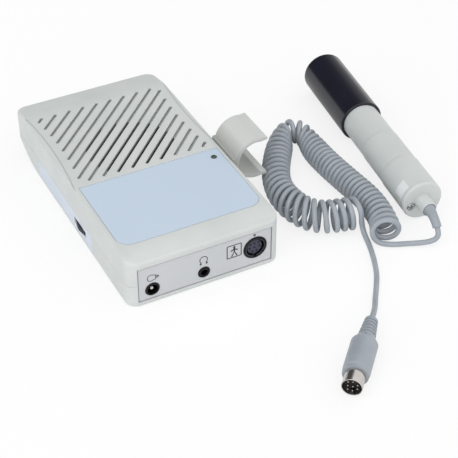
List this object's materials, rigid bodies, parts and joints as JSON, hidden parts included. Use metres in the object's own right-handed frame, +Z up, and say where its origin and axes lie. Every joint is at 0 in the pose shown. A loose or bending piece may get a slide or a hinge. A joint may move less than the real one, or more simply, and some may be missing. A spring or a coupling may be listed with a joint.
{
  "type": "vascular doppler",
  "caption": "Pocket vascular doppler: flat case with loudspeaker grille, side clip, capped pencil probe on a curly cord and a round plug.",
  "frame": {"origin": "middle of the case's flat base", "axes": "+X to the right seen from the front panel, +Y to the back along the case, +Z up"},
  "size_m": [0.1876, 0.2475, 0.0365],
  "materials": {
    "shell_plastic": "fine satin moulded plastic",
    "panel_plastic": "smooth satin plastic",
    "label_film": "smooth pale blue film, bare",
    "inner_plastic": "moulded plastic, hidden",
    "cell_wrap": "shrink wrap, bare",
    "contact_metal": "plated sheet and wire",
    "board_green": "solder resist",
    "component_black": "moulded packages",
    "magnet_metal": "plated steel",
    "cone_paper": "dark film cone",
    "wheel_plastic": "notched rim",
    "lamp_lens": "clear dark lens, unlit",
    "jack_plastic": "moulded plastic",
    "plated_metal": "nickel plate",
    "gold_metal": "gold plate",
    "clip_plastic": "satin plastic",
    "screw_steel": "zinc plate",
    "cap_plastic": "near-black, glossy",
    "probe_plastic": "satin plastic",
    "face_resin": "cast resin",
    "crystal_ceramic": "plated ceramic",
    "backing_rubber": "soft backing",
    "sticker_film": "bare film",
    "cord_rubber": "grey-blue satin jacket",
    "insert_plastic": "black moulding"
  },
  "bodies": {
    "case": {"upper_shell": "shell_plastic", "lower_shell": "shell_plastic", "front_panel": "panel_plastic", "top_label": "label_film", "side_label": "label_film", "battery_tray": "inner_plastic", "batteries": "cell_wrap", "battery_contacts": "contact_metal", "main_board": "board_green", "board_components": "component_black", "speaker_frame": "inner_plastic", "speaker_magnet": "magnet_metal", "speaker_cone": "cone_paper", "volume_pot": "inner_plastic", "wheel_clip": "contact_metal", "power_led": "lamp_lens", "led_leads": "contact_metal", "dc_jack": "jack_plastic", "dc_jack_pin": "plated_metal", "phone_jack": "jack_plastic", "probe_socket": "jack_plastic", "probe_socket_shield": "plated_metal", "probe_socket_contacts": "gold_metal", "probe_clip": "clip_plastic", "clip_screws": "screw_steel", "case_screws": "screw_steel"},
    "wheel": {"volume_wheel": "wheel_plastic"},
    "cover": {"battery_cover": "shell_plastic"},
    "probe": {"probe_body": "probe_plastic", "transducer_face": "face_resin", "transducer_crystals": "crystal_ceramic", "transducer_backing": "backing_rubber", "probe_board": "board_green", "probe_end_cap": "probe_plastic", "probe_screw": "screw_steel", "probe_sticker": "sticker_film", "probe_strain_relief": "cord_rubber", "probe_lead": "cord_rubber", "coil_cord": "cord_rubber", "plug_lead": "cord_rubber", "plug_boot": "cord_rubber", "plug_body": "cord_rubber", "plug_shell": "plated_metal", "plug_insert": "insert_plastic", "plug_pins": "plated_metal"},
    "cap": {"probe_cap": "cap_plastic"}
  },
  "joints": [
    {"name": "volume_turn", "type": "hinge", "parent": "case", "child": "wheel", "pos_m": [-0.0289, -0.0146, 0.007], "axis": [0, 0, 1], "range_deg": [0, 300]},
    {"name": "cover_slide", "type": "slide", "parent": "case", "child": "cover", "axis": [0, 1, 0], "range_m": [0, 0.04]},
    {"name": "probe_lift", "type": "slide", "parent": "case", "child": "probe", "axis": [0, 0, 1], "range_m": [0, 0.1]},
    {"name": "cap_pull", "type": "slide", "parent": "probe", "child": "cap", "axis": [0.1288, 0.9917, 0], "range_m": [0, 0.06]}
  ]
}
